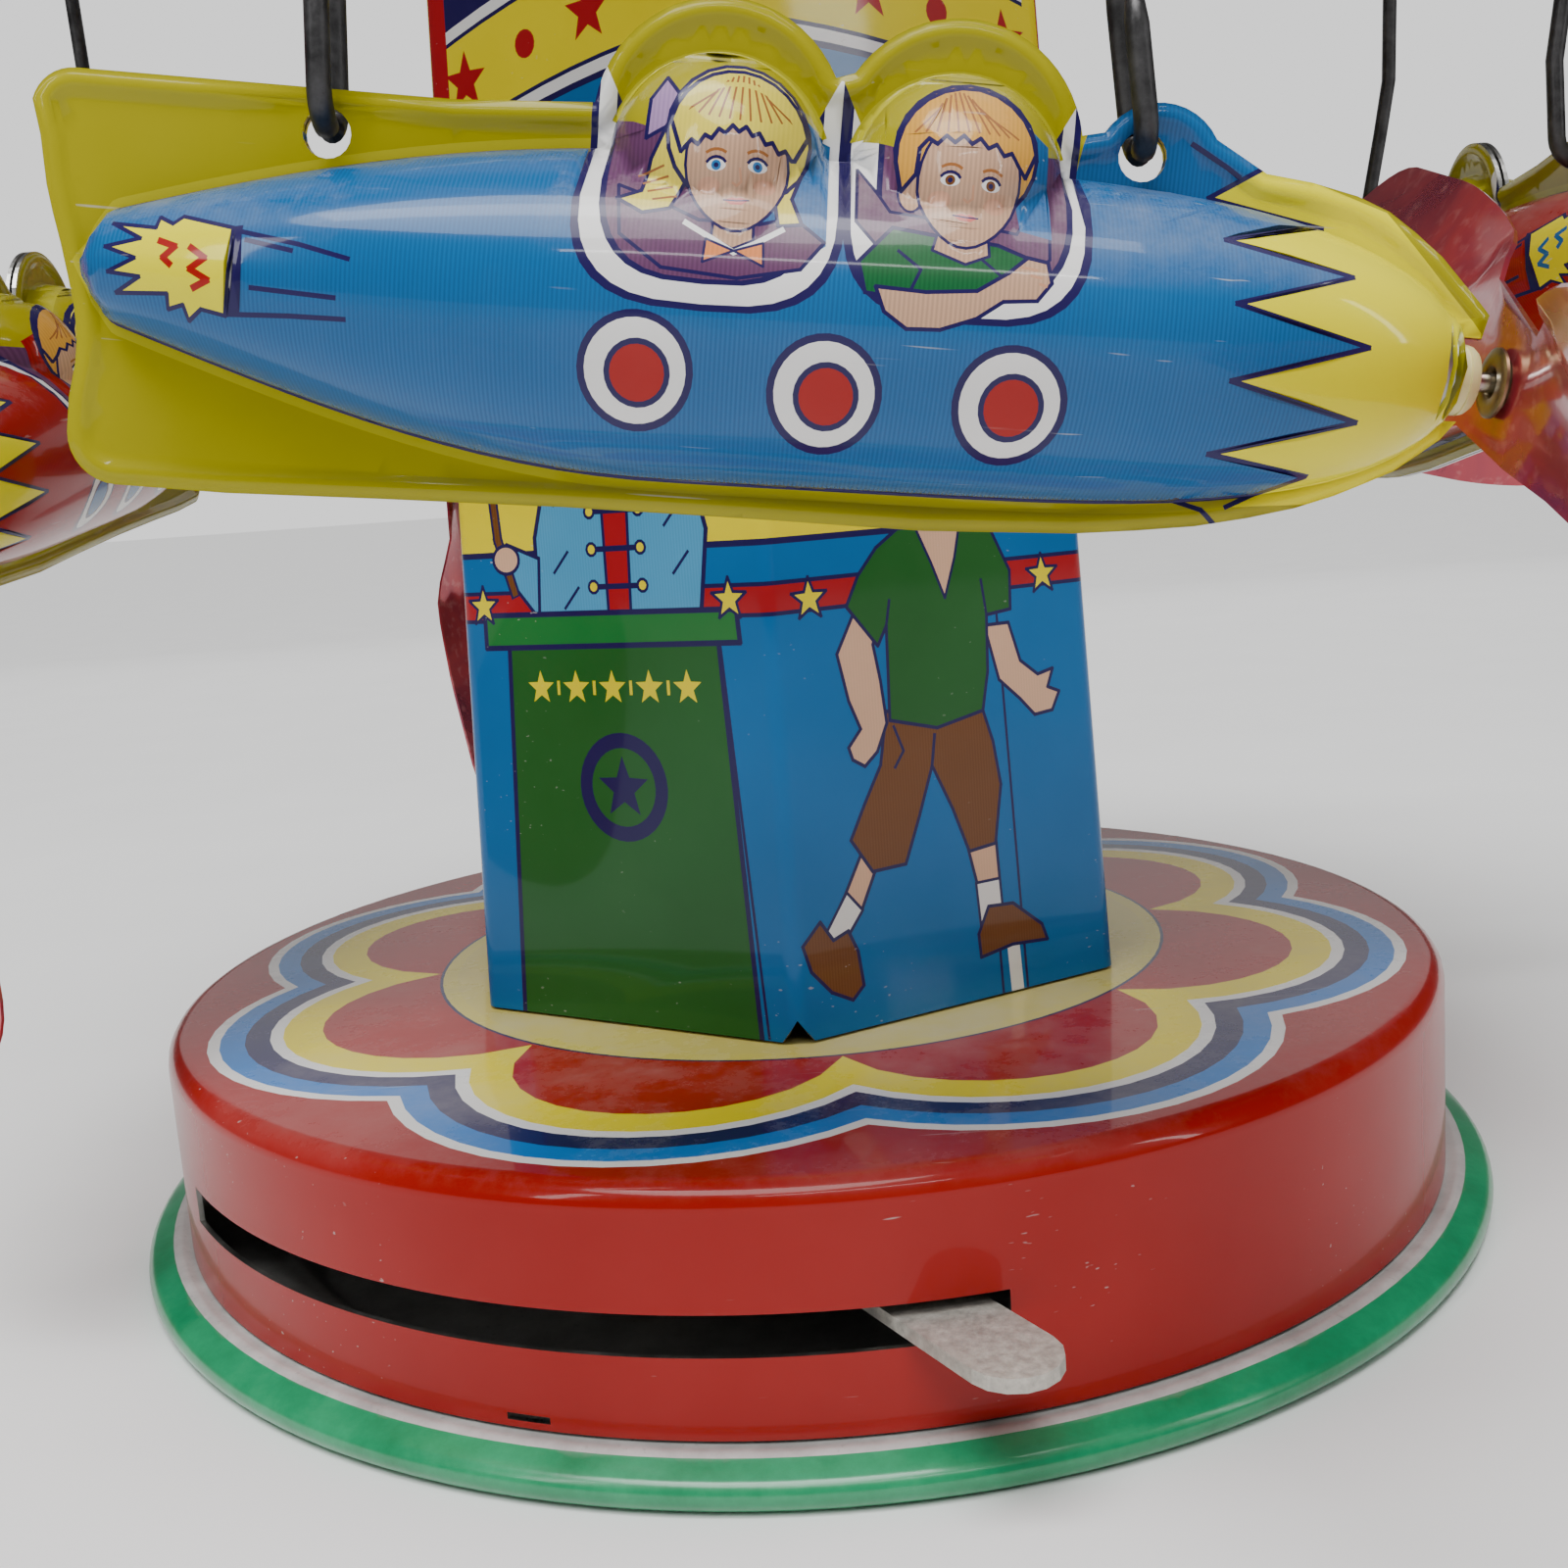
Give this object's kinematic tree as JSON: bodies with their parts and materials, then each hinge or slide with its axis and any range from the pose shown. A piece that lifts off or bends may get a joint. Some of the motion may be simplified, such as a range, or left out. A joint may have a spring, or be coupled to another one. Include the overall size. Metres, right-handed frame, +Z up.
{
  "type": "tin rocket carousel toy",
  "caption": "Lever-driven tinplate carousel: round base, six-sided booth tower and a spinning canopy with wire-hung rockets that have loose propellers.",
  "frame": {"origin": "centre of the base plate's flat underside", "axes": "+Z up along the shaft; -Y faces the lever's slot and the front rocket, whose nose points along +X"},
  "size_m": [0.2203, 0.2169, 0.2195],
  "materials": {
    "base_lithograph": "gloss lithographed tinplate, red with a flower ring",
    "base_rim": "green enamel bead on plain tinplate",
    "tower_lithograph": "gloss lithographed tinplate, blue booth scene",
    "canopy_lithograph": "gloss lithographed tinplate, yellow, red and blue",
    "finial_enamel": "gloss red enamel",
    "rocket_blue_lithograph": "gloss lithographed tinplate, blue hull and yellow fins",
    "rocket_red_lithograph": "gloss lithographed tinplate, red hull and yellow fins",
    "propeller_lacquer": "translucent red lacquer over tinplate",
    "plug_cream": "satin cream plastic",
    "pinion_nylon": "natural nylon",
    "black_wire": "black oxide steel wire",
    "lever_steel": "dull zinc-plated steel",
    "bare_steel": "bare steel",
    "brass": "dull brass"
  },
  "bodies": {
    "root": {"base_cover": "base_lithograph", "base_plate": "base_rim", "tower": "tower_lithograph", "tower_cap": "canopy_lithograph", "top_bush": "brass", "bottom_bush": "brass", "mechanism_plate": "bare_steel", "pillar_front": "bare_steel", "pillar_right": "bare_steel", "pillar_rear": "bare_steel", "lever_post": "bare_steel", "lever_spacer_low": "brass", "lever_spacer_high": "brass", "return_spring": "bare_steel", "spring_anchor": "bare_steel"},
    "carousel": {"shaft": "bare_steel", "ratchet_wheel": "bare_steel", "shaft_collar": "bare_steel", "canopy_hub": "bare_steel", "thrust_washer": "bare_steel", "canopy": "canopy_lithograph", "finial": "finial_enamel"},
    "lever": {"lever_plate": "lever_steel", "lever_spring_pin": "bare_steel"},
    "clutch": {"clutch_pinion": "pinion_nylon", "pawl_pin": "bare_steel"},
    "pawl": {"pawl": "bare_steel"},
    "hanger_front": {"rocket_front_wire_tail": "black_wire", "rocket_front_wire_nose": "black_wire"},
    "rocket_front": {"rocket_front_outer_shell": "rocket_blue_lithograph", "rocket_front_inner_shell": "rocket_blue_lithograph", "rocket_front_nose_plug": "plug_cream", "rocket_front_prop_pin": "bare_steel"},
    "prop_front": {"rocket_front_propeller": "propeller_lacquer", "rocket_front_eyelet": "brass"},
    "hanger_right": {"rocket_right_wire_tail": "black_wire", "rocket_right_wire_nose": "black_wire"},
    "rocket_right": {"rocket_right_outer_shell": "rocket_red_lithograph", "rocket_right_inner_shell": "rocket_red_lithograph", "rocket_right_nose_plug": "plug_cream", "rocket_right_prop_pin": "bare_steel"},
    "prop_right": {"rocket_right_propeller": "propeller_lacquer", "rocket_right_eyelet": "brass"},
    "hanger_rear": {"rocket_rear_wire_tail": "black_wire", "rocket_rear_wire_nose": "black_wire"},
    "rocket_rear": {"rocket_rear_outer_shell": "rocket_blue_lithograph", "rocket_rear_inner_shell": "rocket_blue_lithograph", "rocket_rear_nose_plug": "plug_cream", "rocket_rear_prop_pin": "bare_steel"},
    "prop_rear": {"rocket_rear_propeller": "propeller_lacquer", "rocket_rear_eyelet": "brass"},
    "hanger_left": {"rocket_left_wire_tail": "black_wire", "rocket_left_wire_nose": "black_wire"},
    "rocket_left": {"rocket_left_outer_shell": "rocket_red_lithograph", "rocket_left_inner_shell": "rocket_red_lithograph", "rocket_left_nose_plug": "plug_cream", "rocket_left_prop_pin": "bare_steel"},
    "prop_left": {"rocket_left_propeller": "propeller_lacquer", "rocket_left_eyelet": "brass"}
  },
  "joints": [
    {"name": "carousel_spin", "type": "hinge", "parent": "root", "child": "carousel", "pos_m": [0, 0, 0.1], "axis": [0, 0, 1], "continuous": true},
    {"name": "lever_swing", "type": "hinge", "parent": "root", "child": "lever", "pos_m": [-0.0165, -0.02446, 0.01275], "axis": [0, 0, 1], "range_deg": [-100, 0], "stiffness_Nm_per_rad": 0.02, "springref_deg": 17.19, "deforming": ["return_spring"]},
    {"name": "clutch_turn", "type": "hinge", "parent": "root", "child": "clutch", "pos_m": [0, 0, 0.01275], "axis": [0, 0, 1], "range_deg": [0, 269]},
    {"name": "pawl_click", "type": "hinge", "parent": "clutch", "child": "pawl", "pos_m": [0.0074, 0, 0.0159], "axis": [0, 0, 1], "range_deg": [-12, 0]},
    {"name": "swing_front", "type": "hinge", "parent": "carousel", "child": "hanger_front", "pos_m": [0, -0.078, 0.19], "axis": [-1, 0, 0], "range_deg": [-3, 45]},
    {"name": "tilt_front", "type": "hinge", "parent": "hanger_front", "child": "rocket_front", "pos_m": [-0.02634, -0.078, 0.10185], "axis": [-0.9953, 0, 0.0963], "range_deg": [-12, 12]},
    {"name": "prop_spin_front", "type": "hinge", "parent": "rocket_front", "child": "prop_front", "pos_m": [0.04876, -0.078, 0.08071], "axis": [0.989, 0, -0.1478], "continuous": true},
    {"name": "swing_right", "type": "hinge", "parent": "carousel", "child": "hanger_right", "pos_m": [0.078, 0, 0.19], "axis": [0, -1, 0], "range_deg": [-3, 45]},
    {"name": "tilt_right", "type": "hinge", "parent": "hanger_right", "child": "rocket_right", "pos_m": [0.078, -0.02634, 0.10185], "axis": [0, -0.9953, 0.0963], "range_deg": [-12, 12]},
    {"name": "prop_spin_right", "type": "hinge", "parent": "rocket_right", "child": "prop_right", "pos_m": [0.078, 0.04876, 0.08071], "axis": [0, 0.989, -0.1478], "continuous": true},
    {"name": "swing_rear", "type": "hinge", "parent": "carousel", "child": "hanger_rear", "pos_m": [0, 0.078, 0.19], "axis": [1, 0, 0], "range_deg": [-3, 45]},
    {"name": "tilt_rear", "type": "hinge", "parent": "hanger_rear", "child": "rocket_rear", "pos_m": [0.02634, 0.078, 0.10185], "axis": [0.9953, 0, 0.0963], "range_deg": [-12, 12]},
    {"name": "prop_spin_rear", "type": "hinge", "parent": "rocket_rear", "child": "prop_rear", "pos_m": [-0.04876, 0.078, 0.08071], "axis": [-0.989, 0, -0.1478], "continuous": true},
    {"name": "swing_left", "type": "hinge", "parent": "carousel", "child": "hanger_left", "pos_m": [-0.078, 0, 0.19], "axis": [0, 1, 0], "range_deg": [-3, 45]},
    {"name": "tilt_left", "type": "hinge", "parent": "hanger_left", "child": "rocket_left", "pos_m": [-0.078, 0.02634, 0.10185], "axis": [0, 0.9953, 0.0963], "range_deg": [-12, 12]},
    {"name": "prop_spin_left", "type": "hinge", "parent": "rocket_left", "child": "prop_left", "pos_m": [-0.078, -0.04876, 0.08071], "axis": [0, -0.989, -0.1478], "continuous": true}
  ],
  "couplings": [
    {"joint": "clutch_turn", "follows": "lever_swing", "ratio": -2.6875}
  ]
}
